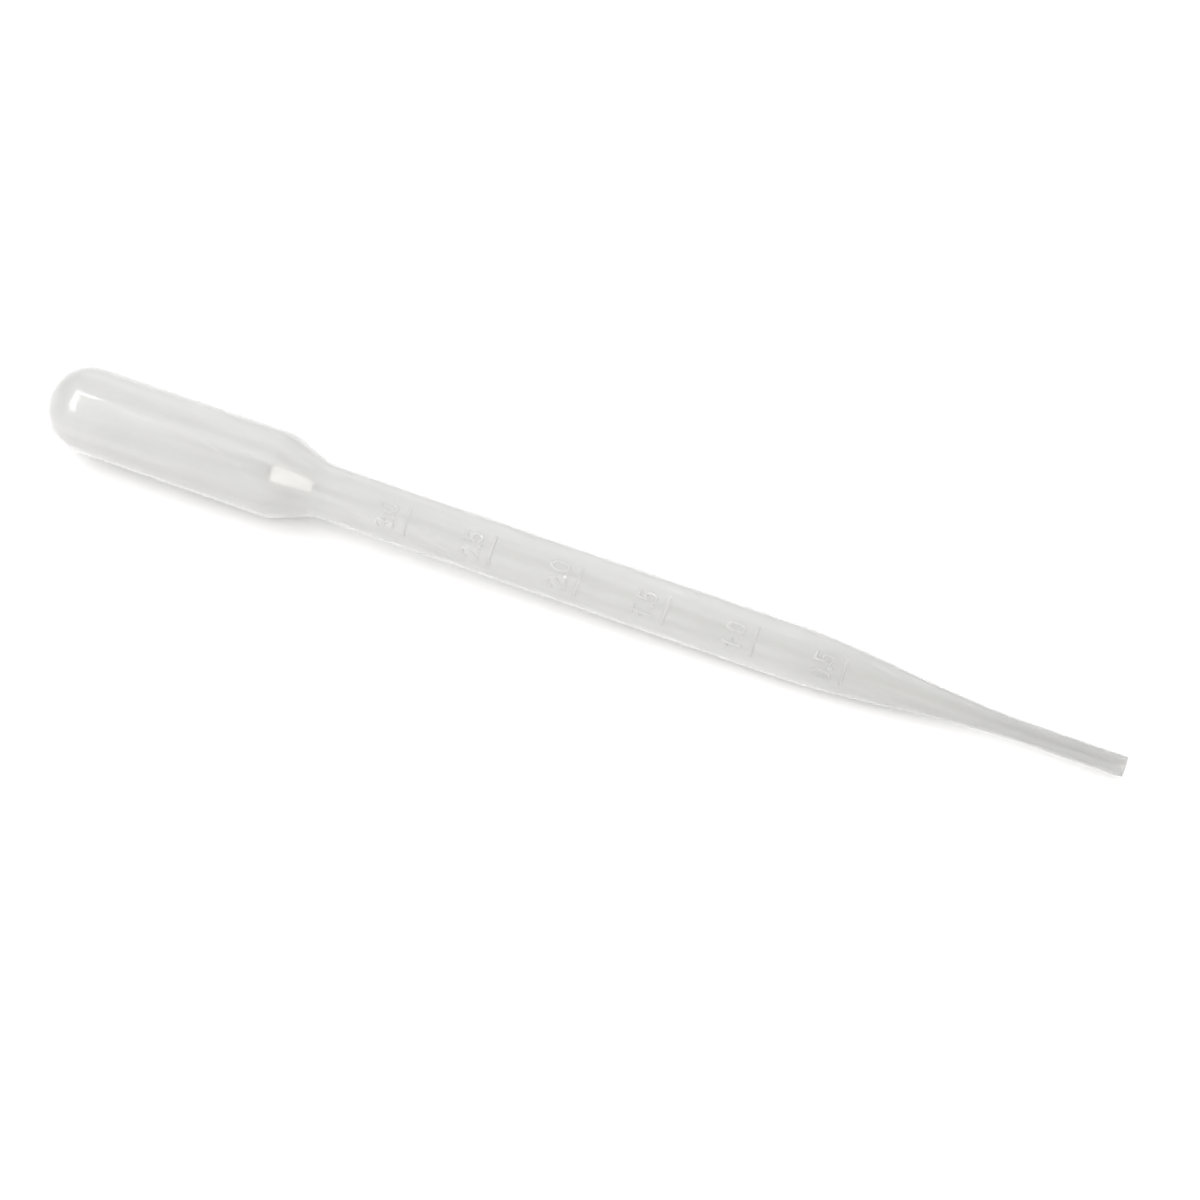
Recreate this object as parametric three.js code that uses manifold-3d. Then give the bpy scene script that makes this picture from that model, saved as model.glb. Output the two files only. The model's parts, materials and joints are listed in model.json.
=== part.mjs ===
// A 3 mL graduated transfer pipette, blow-moulded in one piece from soft translucent polyethylene.
//
// It is modelled along its own axis: +X runs from the closed end of the bulb to the open end of the tip,
// and the raised marks face +Z. The finished model is then rolled, tilted and lifted, so that it lies at
// rest on the plane Z = 0, on its shoulder and its taper, with its box centred over the origin.
//
// The moulding has no separate parts, so its stretches are bodies that meet at planes across the axis.
// The squeezed stretch of the bulb is also cut along the axis: two walls slide inwards between two sides.

import * as THREE from 'three';
import { mergeVertices } from 'three/addons/utils/BufferGeometryUtils.js';
import Module from 'manifold-3d';

// The outline, in millimetres, with distances measured along the axis from the closed end of the bulb.
const LENGTH = 160;
const BULB_RADIUS = 6.35;
const STEM_RADIUS = 3.95;
const TIP_RADIUS = 1.45;
const WALL = 0.45;
const CROWN_WALL = 1.3;
const DOME_END = 8;
const SHOULDER_START = 35.2;
const SHOULDER_END = 43;
const SHOULDER_BEND = 1.6;
const TAPER_START = 111.2;
const TAPER_END = 146;

// The walls that thumb and finger press, and the clearance that lets them slide.
const PRESSED_HALF_WIDTH = 3.3;
const SLIDING_GAP = 0.3;

// Raised marks: numerals that read with the bulb upwards, each with its line on the side of the tip.
const MARK_VALUES = ['3.0', '2.5', '2.0', '1.5', '1.0', '0.5'];
const FIRST_LINE_X = 56.25;
const LINE_PITCH = 12.85;
const LINE_LENGTH = 4.4;
const NUMERAL_TO_LINE = 2.95;
const DIGIT_HEIGHT = 2.85;
const DIGIT_WIDTH = 1.55;
const DIGIT_SPACING = 2.45;
const STROKE = 0.34;
const POINT_RADIUS = 0.24;
const RELIEF = 0.18;
const FOOT_GAP = 0.01;

// Facets round the axis and along the curved stretches.
const SIDES = 32;
const DOME_STEPS = 7;
const SHOULDER_STEPS = 8;
const TAPER_STEPS = 12;
const STROKE_STEP = 0.36;
const ROUND_STEPS = 8;

const SHOULDER_STATIONS = evenSteps(SHOULDER_START, SHOULDER_END, SHOULDER_STEPS);
const TAPER_STATIONS = evenSteps(TAPER_START, TAPER_END, TAPER_STEPS);

// Rolled by a whole number and a half of facets, the pipette has a row of flat facets underneath.
// It tilts by the gentlest slope from its shoulder to the taper, where the facets first meet the plane.
const ROLL = (3.5 * 2 * Math.PI) / SIDES;
const FLAT_SHARE = Math.cos(Math.PI / SIDES);
const SLOPES = TAPER_STATIONS.map((x) => (BULB_RADIUS - outerRadius(x)) / (x - SHOULDER_START));
const TILT = Math.atan(FLAT_SHARE * Math.min(...SLOPES));

const wasm = await Module();
wasm.setup();

function moulded(name, geometry) {
  const polyethylene = new THREE.MeshStandardMaterial({ color: 0xdfe3e4, roughness: 0.35, metalness: 0 });
  const mesh = new THREE.Mesh(geometry, polyethylene);
  mesh.name = name;
  return mesh;
}

// -------------------------------------------------------------------------------- turned stretches

// An S-curve from 0 at start to 1 at end.
function smoothstep(start, end, x) {
  const share = THREE.MathUtils.clamp((x - start) / (end - start), 0, 1);
  return share * share * (3 - 2 * share);
}

// A straight ramp from 0 at start to 1 at end, whose two bends are rounded over the given length.
function roundedRamp(start, end, bend, x) {
  const length = end - start;
  const gone = THREE.MathUtils.clamp(x - start, 0, length);
  const rise = (distance) => (distance < bend ? distance ** 2 / (2 * bend) : distance - bend / 2);
  const height = length - bend;
  return (gone < length / 2 ? rise(gone) : height - rise(length - gone)) / height;
}

// The radius outside, from the bulb's straight wall to the tip.
function outerRadius(x) {
  const fallen = roundedRamp(SHOULDER_START, SHOULDER_END, SHOULDER_BEND, x);
  const shoulder = (BULB_RADIUS - STEM_RADIUS) * fallen;
  const taper = (STEM_RADIUS - TIP_RADIUS) * smoothstep(TAPER_START, TAPER_END, x);
  return BULB_RADIUS - shoulder - taper;
}

function evenSteps(start, end, steps) {
  return Array.from({ length: steps + 1 }, (_, i) => THREE.MathUtils.lerp(start, end, i / steps));
}

// Turns an outline of (radius, distance along the axis) points about the axis.
function turned(outline) {
  return new THREE.LatheGeometry(outline, SIDES).rotateZ(-Math.PI / 2);
}

// An open tube with the same wall all along, through the given stations on the axis.
function tube(stations) {
  const outside = stations.map((x) => new THREE.Vector2(outerRadius(x), x));
  const inside = stations.map((x) => new THREE.Vector2(outerRadius(x) - WALL, x)).reverse();
  return turned([...outside, ...inside, outside[0].clone()]);
}

// A quarter of an ellipse from its pole on the axis to the straight wall, then that wall to the dome's end.
function domeOutline(radius, poleX) {
  const quarter = evenSteps(0, Math.PI / 2, DOME_STEPS).map((angle) => {
    const x = BULB_RADIUS - (BULB_RADIUS - poleX) * Math.cos(angle);
    return new THREE.Vector2(radius * Math.sin(angle), x);
  });
  return [...quarter, new THREE.Vector2(radius, DOME_END)];
}

// The closed end is thicker at its crown, because its inside is flatter than its outside.
function domeGeometry() {
  const outside = domeOutline(BULB_RADIUS, 0);
  const inside = domeOutline(BULB_RADIUS - WALL, CROWN_WALL).reverse();
  return turned([...outside, ...inside]);
}

// -------------------------------------------------------------------------------- cuts and joins

function solidOf(geometry) {
  const bare = geometry.clone();
  bare.deleteAttribute('normal');
  bare.deleteAttribute('uv');
  const merged = mergeVertices(bare, 1e-5);
  const mesh = new wasm.Mesh({
    numProp: 3,
    vertProperties: new Float32Array(merged.attributes.position.array),
    triVerts: new Uint32Array(merged.index.array),
  });
  return new wasm.Manifold(mesh);
}

function geometryOf(solid) {
  const { vertProperties, triVerts } = solid.getMesh();
  const geometry = new THREE.BufferGeometry();
  geometry.setAttribute('position', new THREE.BufferAttribute(vertProperties, 3));
  geometry.setIndex(new THREE.BufferAttribute(triVerts, 1));
  return geometry;
}

// The squeezed stretch of the bulb, cut to a range of Y and Z and shortened by a gap at each end.
function bulbCut(endGap, [yFrom, yTo], [zFrom, zTo]) {
  const length = SHOULDER_START - DOME_END - 2 * endGap;
  const block = new THREE.BoxGeometry(length, yTo - yFrom, zTo - zFrom);
  block.translate((DOME_END + SHOULDER_START) / 2, (yFrom + yTo) / 2, (zFrom + zTo) / 2);
  return geometryOf(solidOf(tube([DOME_END, SHOULDER_START])).intersect(solidOf(block)));
}

// -------------------------------------------------------------------------------- raised marks

// Strokes of the digits, each through a few points of an upright cell that reaches from -1 to 1 each way.
const DIGIT_STROKES = {
  1: [
    [[0.1, -1], [0.1, 1]],
    [[0.1, 1], [-0.8, 0.45]],
  ],
  2: [
    [[-0.95, 0.45], [-0.6, 0.88], [0.05, 1], [0.75, 0.8], [0.85, 0.35], [0, -0.35], [-0.8, -0.95]],
    [[-0.95, -1], [1, -1]],
  ],
  3: [
    [[-0.9, 0.75], [-0.3, 1], [0.6, 0.88], [0.75, 0.45], [0.45, 0.12], [-0.2, 0.05]],
    [[-0.2, 0.05], [0.5, -0.05], [0.95, -0.5], [0.6, -0.9], [-0.1, -1], [-0.95, -0.75]],
  ],
  5: [
    [[0.9, 1], [-0.7, 1]],
    [[-0.7, 1], [-0.8, 0.1]],
    [[-0.8, 0.05], [0, 0.25], [0.75, 0.05], [0.95, -0.45], [0.6, -0.88], [-0.1, -1], [-0.95, -0.75]],
  ],
};

// A straight bar bent along a flat curve, half its width longer at both ends so that strokes meet squarely.
function strokeBar(curve) {
  const length = curve.getLength();
  const steps = Math.round(length / STROKE_STEP);
  const bar = new THREE.BoxGeometry(length + STROKE, STROKE, RELIEF, steps);
  bar.translate(length / 2, 0, RELIEF / 2);
  const position = bar.attributes.position;
  for (let i = 0; i < position.count; i += 1) {
    const distance = position.getX(i);
    const share = THREE.MathUtils.clamp(distance / length, 0, 1);
    const along = curve.getTangentAt(share);
    const left = new THREE.Vector2(-along.y, along.x).multiplyScalar(position.getY(i));
    const point = curve.getPointAt(share).addScaledVector(along, distance - share * length).add(left);
    position.setXY(i, point.x, point.y);
  }
  return bar;
}

function plate(shape) {
  const options = { depth: RELIEF, bevelEnabled: false, curveSegments: ROUND_STEPS, steps: 1 };
  return new THREE.ExtrudeGeometry(shape, options);
}

// Lays a flat, upright mark round the wall: its right runs round the axis and its top points at the bulb.
function laidOnWall(geometry, markX, sideways = 0) {
  const position = geometry.attributes.position;
  for (let i = 0; i < position.count; i += 1) {
    const x = markX - position.getY(i);
    const angle = (sideways + position.getX(i)) / STEM_RADIUS;
    const radius = outerRadius(x) + FOOT_GAP + position.getZ(i);
    position.setXYZ(i, x, radius * Math.sin(angle), radius * Math.cos(angle));
  }
  return geometry;
}

function zeroPlate(halfWidth, halfHeight) {
  const reach = STROKE / 2;
  const ring = new THREE.Shape().absellipse(0, 0, halfWidth + reach, halfHeight + reach, 0, 2 * Math.PI);
  ring.holes.push(new THREE.Path().absellipse(0, 0, halfWidth - reach, halfHeight - reach, 0, 2 * Math.PI));
  return plate(ring);
}

function digitGeometry(digit, markX, sideways) {
  const halfWidth = (DIGIT_WIDTH - STROKE) / 2;
  const halfHeight = (DIGIT_HEIGHT - STROKE) / 2;
  if (digit === '0') {
    return laidOnWall(zeroPlate(halfWidth, halfHeight), markX, sideways);
  }
  const strokes = DIGIT_STROKES[digit].map((cells) => {
    const points = cells.map(([u, v]) => new THREE.Vector2(u * halfWidth, v * halfHeight));
    return solidOf(laidOnWall(strokeBar(new THREE.SplineCurve(points)), markX, sideways));
  });
  return geometryOf(strokes.reduce((whole, stroke) => whole.add(stroke)));
}

function lineGeometry(markX) {
  const reach = (LINE_LENGTH - STROKE) / 2;
  const line = new THREE.LineCurve(new THREE.Vector2(-reach, 0), new THREE.Vector2(reach, 0));
  return laidOnWall(strokeBar(line), markX);
}

function pointGeometry(markX) {
  const disc = new THREE.Shape().absarc(0, POINT_RADIUS - DIGIT_HEIGHT / 2, POINT_RADIUS, 0, 2 * Math.PI);
  return laidOnWall(plate(disc), markX);
}

function graduation(value, index) {
  const lineX = FIRST_LINE_X + index * LINE_PITCH;
  const numeralX = lineX - NUMERAL_TO_LINE;
  const [units, tenths] = value.split('.');
  const name = `mark_${units}_${tenths}`;
  return [
    moulded(`${name}_units`, digitGeometry(units, numeralX, -DIGIT_SPACING / 2)),
    moulded(`${name}_point`, pointGeometry(numeralX)),
    moulded(`${name}_tenths`, digitGeometry(tenths, numeralX, DIGIT_SPACING / 2)),
    moulded(`${name}_line`, lineGeometry(lineX)),
  ];
}

// -------------------------------------------------------------------------------- the whole pipette

function bulb() {
  const beyond = 2 * BULB_RADIUS;
  const pressed = [-PRESSED_HALF_WIDTH, PRESSED_HALF_WIDTH];
  const fixedFrom = PRESSED_HALF_WIDTH + SLIDING_GAP;
  return [
    moulded('bulb_dome', domeGeometry()),
    moulded('bulb_thumb_wall', bulbCut(SLIDING_GAP, pressed, [0, beyond])),
    moulded('bulb_finger_wall', bulbCut(SLIDING_GAP, pressed, [-beyond, 0])),
    moulded('bulb_front_side', bulbCut(0, [-beyond, -fixedFrom], [-beyond, beyond])),
    moulded('bulb_rear_side', bulbCut(0, [fixedFrom, beyond], [-beyond, beyond])),
    moulded('bulb_shoulder', tube(SHOULDER_STATIONS)),
  ];
}

function stemToTip() {
  return [
    moulded('stem', tube([SHOULDER_END, TAPER_START])),
    moulded('taper', tube(TAPER_STATIONS)),
    moulded('tip_tube', tube([TAPER_END, LENGTH])),
  ];
}

function pipette() {
  const alongAxis = new THREE.Group();
  alongAxis.add(...bulb(), ...stemToTip(), ...MARK_VALUES.flatMap(graduation));
  alongAxis.rotation.x = ROLL;

  const lying = new THREE.Group();
  lying.add(alongAxis);
  lying.rotation.y = TILT;

  const box = new THREE.Box3().setFromObject(lying, true);
  const centre = box.getCenter(new THREE.Vector3());
  lying.position.set(-centre.x, -centre.y, -box.min.z);
  return new THREE.Group().add(lying);
}

export default pipette();
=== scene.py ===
"""A graduated transfer pipette of soft translucent polyethylene, lying on a pale floor.

The real pipette is one blow moulding. It is shown as the two halves of its mould: the half that the thumb
presses, which carries the raised marks, and the half that the finger presses. Each half is a thin closed
shell that runs the whole length.
"""

import json
import math

import bpy
import numpy as np
from mathutils import Matrix, Vector
from mathutils.bvhtree import BVHTree


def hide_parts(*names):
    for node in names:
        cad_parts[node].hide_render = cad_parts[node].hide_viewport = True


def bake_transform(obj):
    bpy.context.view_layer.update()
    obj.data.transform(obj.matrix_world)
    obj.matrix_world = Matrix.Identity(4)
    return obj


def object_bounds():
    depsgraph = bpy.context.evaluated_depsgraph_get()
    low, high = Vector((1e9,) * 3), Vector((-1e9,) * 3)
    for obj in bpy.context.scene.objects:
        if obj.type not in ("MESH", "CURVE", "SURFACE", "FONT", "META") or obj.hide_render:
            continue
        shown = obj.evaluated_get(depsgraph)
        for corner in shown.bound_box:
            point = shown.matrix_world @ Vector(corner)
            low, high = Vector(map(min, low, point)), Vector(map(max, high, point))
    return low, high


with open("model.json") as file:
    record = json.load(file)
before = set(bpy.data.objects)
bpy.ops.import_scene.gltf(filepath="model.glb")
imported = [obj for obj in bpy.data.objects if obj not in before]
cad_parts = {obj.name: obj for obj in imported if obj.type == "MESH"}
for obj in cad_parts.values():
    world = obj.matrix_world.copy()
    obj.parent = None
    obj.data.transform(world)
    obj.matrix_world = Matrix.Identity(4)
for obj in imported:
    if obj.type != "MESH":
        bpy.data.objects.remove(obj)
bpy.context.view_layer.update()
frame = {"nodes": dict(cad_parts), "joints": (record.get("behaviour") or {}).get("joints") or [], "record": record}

MM = 0.001

# Fineness of the mesh: steps round the axis, steps along it, and how finely the marks are followed.
COARSE_ANGLE = math.radians(5)
ANGLE_SLACK = 1e-6
FINE_ANGLES_IN_MARKS = 6
FINE_ANGLES_AT_SEAM = 6
MARKS_HALF_ANGLE = math.radians(35)
DOME_ROWS = 26
PLAIN_ROW = 1.6 * MM
CURVED_ROW = 0.4 * MM
MARK_ROW = 0.5 * MM
FINE_ROWS_IN_MARKS = 9
MARK_MARGIN = 0.3 * MM
RIM_STEPS = 4
NEAR_AXIS = 0.01 * MM
SHARP_ANGLE = math.radians(50)

# Relief that the frame leaves out: soft edges of the marks, the mould's seam and the rounded rim.
MARK_EDGE = 0.07 * MM
SEAM_HEIGHT = 0.008 * MM
SEAM_HALF_WIDTH = 0.12 * MM
RIM_RADIUS = 0.12 * MM

# How far along the axis each bend of the shoulder is rounded.
SHOULDER_BEND = 1.6 * MM

# Patterns in the plastic: noise cells to a metre, and how they are drawn out along the pipette.
CLOUDS = {"scale": 220, "stretch": (0.25, 1, 1)}
STREAKS = {"scale": 420, "stretch": (0.03, 1, 1)}
SATIN = {"scale": 400, "stretch": (0.15, 1, 1)}
DRAWN_LINES = {"scale": 900, "stretch": (0.06, 1, 1)}

# What each pattern does, from its lowest value to its highest.
CLOUD_COLOURS = ((0.80, 0.80, 0.79, 1), (0.86, 0.86, 0.85, 1))
STREAK_TINTS = (0.84, 1.12)
TAPER_TINTS = (0.98, 0.82)
SATIN_ROUGHNESS = (0.28, 0.38)
DRAWN_DEPTH = 0.003 * MM
DRAWN_STRENGTH = 0.25

# The plastic's even properties, by the name of the shader's socket.
PLASTIC = {
    "IOR": 1.51,
    "Transmission Weight": 0.6,
    "Subsurface Weight": 1,
    "Subsurface Radius": (1, 1, 1),
    "Subsurface Scale": 0.6 * MM,
    "Coat Weight": 1,
    "Coat Roughness": 0.03,
    "Coat IOR": 1.5,
    "Sheen Weight": 0.4,
    "Sheen Roughness": 0.4,
}

# The faces inside the wall, and the floor.
SEAM_CLOUDS = 220
SEAM_ROUGHNESS = (0.24, 0.36)
PAPER_CLOUDS = 30
PAPER_COLOURS = ((0.90, 0.90, 0.90, 1), (0.92, 0.92, 0.92, 1))
PAPER_ROUGHNESS = 0.9
FLOOR_SIZE = 4

# The camera: degrees, metres, and millimetres of lens and sensor.
CAMERA_AZIMUTH = 21.8
CAMERA_ELEVATION = 55
CAMERA_DISTANCE = 0.45
CAMERA_TARGET = (4.98 * MM, -1.73 * MM, 4.0 * MM)
CAMERA_LENS = 97.9
CAMERA_SENSOR = 36
CAMERA_CLIP_START = 0.01

# The room's even light, and its dark patch: how far the patch reaches along the pipette, across it and
# outwards from its marked side, as cosines (2 is no limit), and how softly it ends.
WORLD_STRENGTH = 1.0
DARK_STRENGTH = 0.2
DARK_EDGE = 0.06
DARK_ALONG = (-0.30, 0.24)
DARK_SIDEWAYS = (-0.22, 0.38)
DARK_OUTWARD = (0.0, 2.0)

# Rectangular lights: the direction from the dome, the distance and size in metres, and the radiance.
SOFTBOXES = {
    "window": {"towards": (-0.50, -0.42, 0.756), "distance": 0.8, "size": (0.25, 0.6), "radiance": 5},
    "window_top": {"towards": (-0.463, -0.021, 0.886), "distance": 0.8, "size": (0.28, 0.08), "radiance": 7},
    "front": {"towards": (-0.1, -0.85, 0.5), "distance": 1.0, "size": (2.0, 0.8), "radiance": 0.4},
    "back": {"towards": (0.1, 0.8, 0.6), "distance": 1.0, "size": (2.0, 0.8), "radiance": 0.6},
    "side": {"towards": (0.433, -0.528, 0.730), "distance": 0.8, "size": (0.2, 0.6), "radiance": 3.5,
             "colour": (1, 0.96, 0.9)},
}

# Sockets of a Mix node that mixes colours.
MIX_SHARE = 0
MIX_FIRST = 6
MIX_SECOND = 7
MIX_RESULT = 2


# ---------------------------------------------------------------------------- measures of the frame


def corners(node):
    """The corners of a CAD node, one row each."""
    return np.array([v.co for v in frame["nodes"][node].data.vertices], float)


def unit(vector):
    """The vector at a length of 1."""
    return np.array(vector, float) / np.linalg.norm(vector)


MOUNT = {m["name"]: m for m in frame["record"]["mounts"]}["tip_end"]
JOINT = {j["name"]: j for j in frame["joints"]}["thumb_press"]
ALONG = unit(MOUNT["axis"])
OUTWARD = -unit(JOINT["axis"])
SIDEWAYS = np.cross(OUTWARD, ALONG)


def span(node, direction):
    """How far a CAD node reaches along a direction, from its lowest to its highest corner."""
    reach = corners(node) @ direction
    return reach.min(), reach.max()


def middle(node, direction):
    return sum(span(node, direction)) / 2


def half_width(node):
    low, high = span(node, SIDEWAYS)
    return (high - low) / 2


POLE = (
    ALONG * span("bulb_dome", ALONG)[0]
    + SIDEWAYS * middle("tip_tube", SIDEWAYS)
    + OUTWARD * middle("tip_tube", OUTWARD)
)


def stations(node):
    """Where a CAD node starts and ends along the pipette's axis, measured from the closed end."""
    low, high = span(node, ALONG)
    return low - POLE @ ALONG, high - POLE @ ALONG


def from_axis(node):
    """The distance of a CAD node's corners from the axis, and their places along it."""
    offset = corners(node) - POLE
    place = offset @ ALONG
    return np.linalg.norm(offset - place[:, None] * ALONG, axis=1), place


BULB_RADIUS = half_width("bulb_dome")
STEM_RADIUS = half_width("stem")
TIP_RADIUS = half_width("tip_tube")
WALL = STEM_RADIUS - from_axis("stem")[0].min()
SHOULDER_START, SHOULDER_END = stations("bulb_shoulder")
TAPER_START, TAPER_END = stations("taper")
LENGTH = stations("tip_tube")[1]
MARKS = sorted(name for name in frame["nodes"] if name.startswith("mark_"))
MARK_LINES = [name for name in MARKS if name.endswith("_line")]


def crown_wall():
    """The thickness of the dome at its pole: its deepest corner that lies on the axis."""
    distance, place = from_axis("bulb_dome")
    return place[distance < NEAR_AXIS].max()


CROWN_WALL = crown_wall()


# ---------------------------------------------------------------------------- the turned outline


def smoothstep(start, end, value):
    share = np.clip((value - start) / (end - start), 0, 1)
    return share * share * (3 - 2 * share)


def rounded_ramp(start, end, bend, value):
    """A straight ramp from 0 at start to 1 at end, whose two bends are rounded over the given length."""
    length = end - start
    gone = np.clip(value - start, 0, length)
    nearer = np.minimum(gone, length - gone)
    rise = np.where(nearer < bend, nearer**2 / (2 * bend), nearer - bend / 2) / (length - bend)
    return np.where(gone < length / 2, rise, 1 - rise)


def outer_radius(x):
    """The radius outside, from the bulb's straight wall to the tip."""
    shoulder = (BULB_RADIUS - STEM_RADIUS) * rounded_ramp(SHOULDER_START, SHOULDER_END, SHOULDER_BEND, x)
    taper = (STEM_RADIUS - TIP_RADIUS) * smoothstep(TAPER_START, TAPER_END, x)
    return BULB_RADIUS - shoulder - taper


def even(start, end, step):
    """Even stations from start up to end, leaving end out, no further apart than step."""
    count = max(1, math.ceil((end - start) / step))
    return [start + (end - start) * i / count for i in range(count)]


def mark_spans():
    """The stretches of the stem that carry marks, each from its numeral to its line."""
    spans = []
    for line in MARK_LINES:
        group = [name for name in MARKS if name.startswith(line.removesuffix("line"))]
        places = [stations(name) for name in group]
        low = min(start for start, _ in places) - MARK_MARGIN
        high = max(end for _, end in places) + MARK_MARGIN
        spans.append((low, high))
    return sorted(spans)


def wall_rows(marked):
    """Stations along the straight and curved wall behind the dome, and how finely each next step is cut."""
    fine = mark_spans() if marked else []
    curved = [(SHOULDER_START, SHOULDER_END), (TAPER_START, TAPER_END)]
    ends = sorted({BULB_RADIUS, LENGTH - RIM_RADIUS, *(x for part in fine + curved for x in part)})
    rows = []
    for start, end in zip(ends, ends[1:]):
        step, cuts = PLAIN_ROW, 1
        if any(low <= start and end <= high for low, high in curved):
            step = CURVED_ROW
        if any(low <= start and end <= high for low, high in fine):
            step, cuts = MARK_ROW, FINE_ROWS_IN_MARKS
        rows += [(x, cuts) for x in even(start, end, step)]
    return rows[1:] + [(ends[-1], 1)]


def outline(marked):
    """Pairs of outer and inner (place, radius) from the pole to the tip. A pair without an inner point is
    one of the fine rows between two coarse ones."""
    pairs = []
    for i in range(1, DOME_ROWS + 1):
        angle = math.pi / 2 * i / DOME_ROWS
        depth = math.cos(angle)
        outer = (BULB_RADIUS - BULB_RADIUS * depth, BULB_RADIUS * math.sin(angle))
        inner = (BULB_RADIUS - (BULB_RADIUS - CROWN_WALL) * depth, (BULB_RADIUS - WALL) * math.sin(angle))
        pairs.append((outer, inner))
    rows = wall_rows(marked)
    for (x, cuts), (after, _) in zip(rows, rows[1:] + [rows[-1]]):
        radius = float(outer_radius(x))
        pairs.append(((x, radius), (x, radius - WALL)))
        for i in range(1, cuts):
            between = x + (after - x) * i / cuts
            pairs.append(((between, float(outer_radius(between))), None))
    for i in range(1, RIM_STEPS + 1):
        angle = math.pi / 2 * i / RIM_STEPS
        x = LENGTH - RIM_RADIUS * (1 - math.sin(angle))
        inset = RIM_RADIUS * (1 - math.cos(angle))
        pairs.append(((x, TIP_RADIUS - inset), (x, TIP_RADIUS - WALL + inset)))
    return pairs


def column_angles(marked):
    """Angles from the middle of a half to its seams, with True for those that the inner wall shares."""
    count = round(math.pi / COARSE_ANGLE)
    columns = []
    for i in range(count):
        low = -math.pi / 2 + math.pi * i / count
        high = -math.pi / 2 + math.pi * (i + 1) / count
        cuts = 1
        if marked and max(abs(low), abs(high)) <= MARKS_HALF_ANGLE + ANGLE_SLACK:
            cuts = FINE_ANGLES_IN_MARKS
        if i in (0, count - 1):
            cuts = FINE_ANGLES_AT_SEAM
        columns += [(low + (high - low) * j / cuts, j == 0) for j in range(cuts)]
    return columns + [(math.pi / 2, True)]


# ---------------------------------------------------------------------------- relief


def mark_height(place, angle, half):
    """How far the marks lift the wall, from the distance to the edge of the nearest mark of the frame."""
    distance, at = from_axis(MARK_LINES[0])
    lift = (distance - outer_radius(at)).max()
    height = np.zeros(place.shape)
    points = point_on(place, outer_radius(place) + lift / 2, angle, half)
    for name in MARKS:
        low, high = stations(name)
        beside = (place > low - MARK_MARGIN) & (place < high + MARK_MARGIN)
        near = beside & (np.abs(angle) < MARKS_HALF_ANGLE)
        mesh = frame["nodes"][name].data
        tree = BVHTree.FromPolygons([v.co for v in mesh.vertices], [p.vertices[:] for p in mesh.polygons])
        for index in zip(*np.nonzero(near)):
            point = Vector(points[index])
            found, normal, _, gap = tree.find_nearest(point)
            outside = gap if (point - found).dot(normal) > 0 else -gap
            share = smoothstep(MARK_EDGE, -MARK_EDGE, outside)
            height[index] = max(height[index], lift * share)
    return height


def seam_height(radius, angle):
    """The fine ridge that the mould's parting line leaves, highest at the seam."""
    reach = radius * (math.pi / 2 - np.abs(angle))
    return SEAM_HEIGHT * np.exp(-((reach / SEAM_HALF_WIDTH) ** 2)) * smoothstep(0, TIP_RADIUS, radius)


def point_on(place, radius, angle, half):
    """Points in the row frame. half is +1 for the thumb's half of the mould and -1 for the finger's half."""
    side = (radius * np.sin(angle))[..., None] * SIDEWAYS * half
    out = (radius * np.cos(angle))[..., None] * OUTWARD * half
    return POLE + place[..., None] * ALONG + side + out


# ---------------------------------------------------------------------------- the two half shells


def outside_points(outer, angles, half, marked):
    """The outer skin as a grid of points, with the seam's ridge and the marks raised on it."""
    place = np.array([[x] * len(angles) for x, _ in outer])
    radius = np.array([[r] * len(angles) for _, r in outer])
    angle = np.array([angles] * len(outer))
    lifted = radius + seam_height(radius, angle)
    if marked:
        lifted = lifted + mark_height(place, angle, half)
    return point_on(place, lifted, angle, half)


def inside_points(inner, angles, half):
    """The inner skin as a grid of points."""
    place = np.array([[x] * len(angles) for x, _ in inner])
    radius = np.array([[r] * len(angles) for _, r in inner])
    angle = np.array([angles] * len(inner))
    return point_on(place, radius, angle, half)


def numbered(grid, first):
    """The numbers of a grid's points, row by row from first."""
    rows, columns = grid.shape[:2]
    return (first + np.arange(rows * columns).reshape(rows, columns)).tolist()


def quads(grid):
    """The faces between neighbouring rows and columns of a grid of point numbers."""
    return [(a[j], b[j], b[j + 1], a[j + 1]) for a, b in zip(grid, grid[1:]) for j in range(len(a) - 1)]


def skin_faces(outer, inner, poles, shared_columns):
    """The outer and inner skins, the fans that close them at the poles, and the rim at the tip."""
    pole_outside, pole_inside = poles
    faces = quads(outer)
    faces += [face[::-1] for face in quads(inner)]
    faces += [(pole_outside, a, b) for a, b in zip(outer[0], outer[0][1:])]
    faces += [(pole_inside, b, a) for a, b in zip(inner[0], inner[0][1:])]
    for j, (start, end) in enumerate(zip(shared_columns, shared_columns[1:])):
        rim = outer[-1][start : end + 1]
        faces.append((*reversed(rim), inner[-1][j], inner[-1][j + 1]))
    return faces


def seam_faces(outer, inner, poles, shared_rows):
    """The cut faces along both seams, and the two that close them at the pole."""
    pole_outside, pole_inside = poles
    faces = []
    for i, (start, end) in enumerate(zip(shared_rows, shared_rows[1:])):
        low_edge = [row[0] for row in outer[start : end + 1]]
        high_edge = [row[-1] for row in outer[start : end + 1]]
        faces.append((*reversed(low_edge), inner[i][0], inner[i + 1][0]))
        faces.append((*high_edge, inner[i + 1][-1], inner[i][-1]))
    faces.append((pole_outside, pole_inside, inner[0][0], outer[0][0]))
    faces.append((pole_outside, outer[0][-1], inner[0][-1], pole_inside))
    return faces


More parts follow.
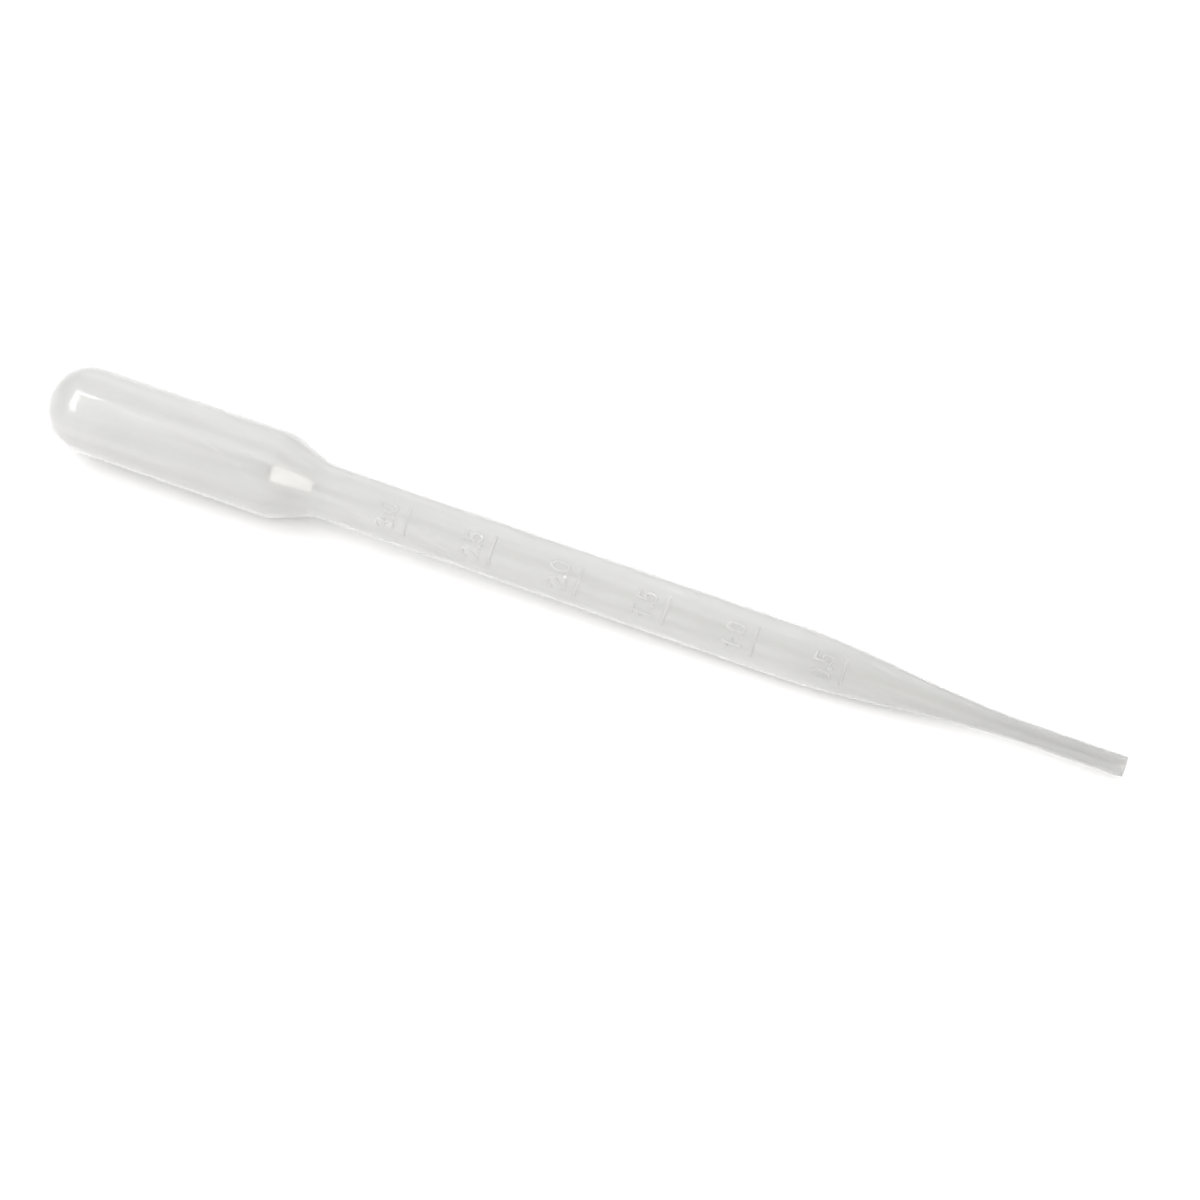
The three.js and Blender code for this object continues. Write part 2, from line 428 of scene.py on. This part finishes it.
def half_shell(name, half, marked):
    """One half of the moulding as a closed thin shell. Its cut faces at the seam use the second material."""
    pairs = outline(marked)
    columns = column_angles(marked)
    shared_rows = [i for i, (_, inner) in enumerate(pairs) if inner]
    shared_columns = [j for j, (_, shared) in enumerate(columns) if shared]
    angles = [angle for angle, _ in columns]
    outside = outside_points([outer for outer, _ in pairs], angles, half, marked)
    shared_angles = [angles[j] for j in shared_columns]
    inside = inside_points([inner for _, inner in pairs if inner], shared_angles, half)
    crown = np.array([POLE, POLE + CROWN_WALL * ALONG])
    points = np.concatenate([outside.reshape(-1, 3), inside.reshape(-1, 3), crown])

    outer = numbered(outside, 0)
    inner = numbered(inside, outer[-1][-1] + 1)
    poles = (len(points) - 2, len(points) - 1)
    skins = skin_faces(outer, inner, poles, shared_columns)
    mesh = bpy.data.meshes.new(name)
    mesh.from_pydata(points.tolist(), [], skins + seam_faces(outer, inner, poles, shared_rows))
    for polygon in mesh.polygons:
        polygon.material_index = int(polygon.index >= len(skins))
    mesh.shade_smooth()
    mesh.set_sharp_from_angle(angle=SHARP_ANGLE)
    mesh.update()
    shell = bpy.data.objects.new(name, mesh)
    bpy.context.scene.collection.objects.link(shell)
    return shell


def bend_with_wall(shell):
    """Bakes the shell's placement into its mesh."""
    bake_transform(shell)


# ---------------------------------------------------------------------------- materials


def material(name):
    made = bpy.data.materials.new(name)
    made.use_nodes = True
    return made, made.node_tree, made.node_tree.nodes["Principled BSDF"]


def noise(tree, scale, stretch=(1, 1, 1), detail=3.0):
    """Noise in the row frame. A stretch above 1 shortens the pattern along that axis, and one below 1 draws
    it out."""
    place = tree.nodes.new("ShaderNodeTexCoord")
    shaped = tree.nodes.new("ShaderNodeMapping")
    shaped.inputs["Scale"].default_value = stretch
    pattern = tree.nodes.new("ShaderNodeTexNoise")
    pattern.inputs["Scale"].default_value = scale
    pattern.inputs["Detail"].default_value = detail
    tree.links.new(place.outputs["Object"], shaped.inputs["Vector"])
    tree.links.new(shaped.outputs["Vector"], pattern.inputs["Vector"])
    return pattern.outputs["Fac"]


def ranged(tree, value, low, high):
    """A 0 to 1 value stretched to run from low to high."""
    node = tree.nodes.new("ShaderNodeMapRange")
    node.inputs["To Min"].default_value = low
    node.inputs["To Max"].default_value = high
    tree.links.new(value, node.inputs["Value"])
    return node.outputs["Result"]


def mixed(tree, share, first, second):
    """A colour that runs from the first to the second as the share goes from 0 to 1."""
    node = tree.nodes.new("ShaderNodeMix")
    node.data_type = "RGBA"
    node.inputs[MIX_FIRST].default_value = first
    node.inputs[MIX_SECOND].default_value = second
    tree.links.new(share, node.inputs[MIX_SHARE])
    return node.outputs[MIX_RESULT]


def tinted(tree, colour, share, low, high):
    """Multiplies a colour by a grey that runs from low to high as the share goes from 0 to 1."""
    node = tree.nodes.new("ShaderNodeMix")
    node.data_type = "RGBA"
    node.blend_type = "MULTIPLY"
    node.inputs[MIX_SHARE].default_value = 1
    tree.links.new(colour, node.inputs[MIX_FIRST])
    tree.links.new(ranged(tree, share, low, high), node.inputs[MIX_SECOND])
    return node.outputs[MIX_RESULT]


def computed(tree, operation, first, second=None):
    """One step of arithmetic on a socket, with a number or another socket where it takes a second value."""
    node = tree.nodes.new("ShaderNodeMath")
    node.operation = operation
    tree.links.new(first, node.inputs[0])
    if isinstance(second, float):
        node.inputs[1].default_value = second
    elif second is not None:
        tree.links.new(second, node.inputs[1])
    return node.outputs[0]


def place_on_taper(tree):
    """How far a point lies along the taper: 0 on the bulb and the stem, and 1 on the tip tube."""
    place = tree.nodes.new("ShaderNodeTexCoord")
    apart = tree.nodes.new("ShaderNodeSeparateXYZ")
    share = tree.nodes.new("ShaderNodeMapRange")
    share.inputs["From Min"].default_value = POLE[0] + TAPER_START
    share.inputs["From Max"].default_value = POLE[0] + TAPER_END
    tree.links.new(place.outputs["Object"], apart.inputs["Vector"])
    tree.links.new(apart.outputs["X"], share.inputs["Value"])
    return share.outputs["Result"]


def polyethylene():
    """Milky low-density polyethylene: hazy light through the wall, under a smooth glossy surface with a pale
    sheen at its edges. Faint streaks run along it, as the melt was drawn, and it darkens towards the tip."""
    made, tree, shader = material("polyethylene")
    cloudy = mixed(tree, noise(tree, **CLOUDS), *CLOUD_COLOURS)
    streaked = tinted(tree, cloudy, noise(tree, **STREAKS), *STREAK_TINTS)
    darker = tinted(tree, streaked, place_on_taper(tree), *TAPER_TINTS)
    tree.links.new(darker, shader.inputs["Base Color"])
    tree.links.new(ranged(tree, noise(tree, **SATIN), *SATIN_ROUGHNESS), shader.inputs["Roughness"])

    bump = tree.nodes.new("ShaderNodeBump")
    bump.inputs["Strength"].default_value = DRAWN_STRENGTH
    bump.inputs["Distance"].default_value = DRAWN_DEPTH
    tree.links.new(noise(tree, **DRAWN_LINES), bump.inputs["Height"])
    tree.links.new(bump.outputs["Normal"], shader.inputs["Normal"])
    for socket, value in PLASTIC.items():
        shader.inputs[socket].default_value = value
    return made


def seam_face():
    """The faces where the two halves meet, inside the wall of the one real moulding: nothing shows there. A
    viewer that ignores the alpha shows them as a satin surface."""
    made, tree, shader = material("seam_inside_wall")
    shader.inputs["Alpha"].default_value = 0
    tree.links.new(ranged(tree, noise(tree, SEAM_CLOUDS), *SEAM_ROUGHNESS), shader.inputs["Roughness"])
    return made


def paper():
    """The pale floor: matt white paper with a faint unevenness."""
    made, tree, shader = material("white_paper")
    tree.links.new(mixed(tree, noise(tree, PAPER_CLOUDS), *PAPER_COLOURS), shader.inputs["Base Color"])
    shader.inputs["Roughness"].default_value = PAPER_ROUGHNESS
    return made


# ---------------------------------------------------------------------------- the pieces


def fixed_nodes():
    """The CAD nodes that both halves stand for together: all but the pressed walls and the marks."""
    return [n for n in frame["nodes"] if n not in ("bulb_thumb_wall", "bulb_finger_wall") and n not in MARKS]


def make_halves():
    """The two half shells with their materials, each hiding the CAD nodes that it stands for."""
    skins = (polyethylene(), seam_face())
    halves = (
        ("thumb_half", 1, True, "thumb_wall", ["bulb_thumb_wall", *fixed_nodes(), *MARKS]),
        ("finger_half", -1, False, "finger_wall", ["bulb_finger_wall", *fixed_nodes()]),
    )
    for name, half, marked, body, nodes in halves:
        shell = half_shell(name, half, marked)
        for skin in skins:
            shell.data.materials.append(skin)
        bend_with_wall(shell)
        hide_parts(*nodes)


def make_floor():
    """A square of paper at the height of the pipette's lowest point."""
    side = FLOOR_SIZE / 2
    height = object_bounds()[0].z
    signs = ((-1, -1), (1, -1), (1, 1), (-1, 1))
    mesh = bpy.data.meshes.new("floor")
    mesh.from_pydata([(side * x, side * y, height) for x, y in signs], [], [(0, 1, 2, 3)])
    floor = bpy.data.objects.new("floor", mesh)
    bpy.context.scene.collection.objects.link(floor)
    mesh.materials.append(paper())


# ---------------------------------------------------------------------------- camera and light


def look(thing, place, target):
    """Puts a camera at a place, facing the target."""
    thing.location = place
    thing.rotation_mode = "QUATERNION"
    thing.rotation_quaternion = (Vector(target) - Vector(place)).to_track_quat("-Z", "Y")


def face_dome(lamp, towards, distance):
    """Puts a lamp in a direction from the dome, facing it, with its width turned along the pipette."""
    back = Vector(towards).normalized()
    along = Vector(ALONG)
    width = (along - along.dot(back) * back).normalized()
    turn = Matrix((width, back.cross(width), back)).transposed()
    lamp.matrix_world = Matrix.LocRotScale(Vector(POLE) + back * distance, turn.to_quaternion(), None)


def direction(azimuth, elevation):
    """From the target back to the eye: azimuth 0 looks along +Y, and elevation is above the horizon."""
    a, e = math.radians(azimuth), math.radians(elevation)
    return Vector((math.sin(a) * math.cos(e), -math.cos(a) * math.cos(e), math.sin(e)))


def make_camera():
    camera = bpy.data.objects.new("camera", bpy.data.cameras.new("camera"))
    bpy.context.scene.collection.objects.link(camera)
    camera.data.lens = CAMERA_LENS
    camera.data.sensor_width = CAMERA_SENSOR
    camera.data.clip_start = CAMERA_CLIP_START
    back = direction(CAMERA_AZIMUTH, CAMERA_ELEVATION)
    look(camera, Vector(CAMERA_TARGET) + back * CAMERA_DISTANCE, CAMERA_TARGET)
    bpy.context.scene.camera = camera


def softbox(name, towards, distance, size, radiance, colour=(1, 1, 1)):
    """A rectangular light of an even radiance, which faces the dome from the direction given."""
    light = bpy.data.lights.new(name, "AREA")
    light.shape = "RECTANGLE"
    light.size, light.size_y = size
    light.energy = radiance * size[0] * size[1] * math.pi
    light.color = colour
    lamp = bpy.data.objects.new(name, light)
    bpy.context.scene.collection.objects.link(lamp)
    face_dome(lamp, towards, distance)


def within(tree, axis, low, high):
    """1 where the cosine between the direction looked in and an axis is from low to high, and 0 well
    outside, with soft edges between."""
    sight = tree.nodes.new("ShaderNodeTexCoord")
    reach = tree.nodes.new("ShaderNodeVectorMath")
    reach.operation = "DOT_PRODUCT"
    reach.inputs[1].default_value = axis
    tree.links.new(sight.outputs["Generated"], reach.inputs[0])
    off_centre = computed(tree, "SUBTRACT", reach.outputs["Value"], (low + high) / 2)
    distance = computed(tree, "ABSOLUTE", off_centre)
    share = tree.nodes.new("ShaderNodeMapRange")
    share.interpolation_type = "SMOOTHSTEP"
    share.inputs["From Min"].default_value = (high - low) / 2 + DARK_EDGE
    share.inputs["From Max"].default_value = (high - low) / 2 - DARK_EDGE
    tree.links.new(distance, share.inputs["Value"])
    return share.outputs["Result"]


def make_world():
    """A bright room all round, with a dark patch overhead where the camera and its operator stand."""
    world = bpy.data.worlds.new("studio")
    world.use_nodes = True
    tree = world.node_tree
    background = tree.nodes["Background"]
    background.inputs["Color"].default_value = (1, 1, 1, 1)
    patch = within(tree, ALONG, *DARK_ALONG)
    patch = computed(tree, "MULTIPLY", patch, within(tree, SIDEWAYS, *DARK_SIDEWAYS))
    patch = computed(tree, "MULTIPLY", patch, within(tree, OUTWARD, *DARK_OUTWARD))
    tree.links.new(ranged(tree, patch, WORLD_STRENGTH, DARK_STRENGTH), background.inputs["Strength"])
    bpy.context.scene.world = world


def make_lights():
    for name, facts in SOFTBOXES.items():
        softbox(name, **facts)


make_camera()
make_halves()
make_floor()
make_world()
make_lights()
bpy.context.scene.view_settings.view_transform = "Standard"
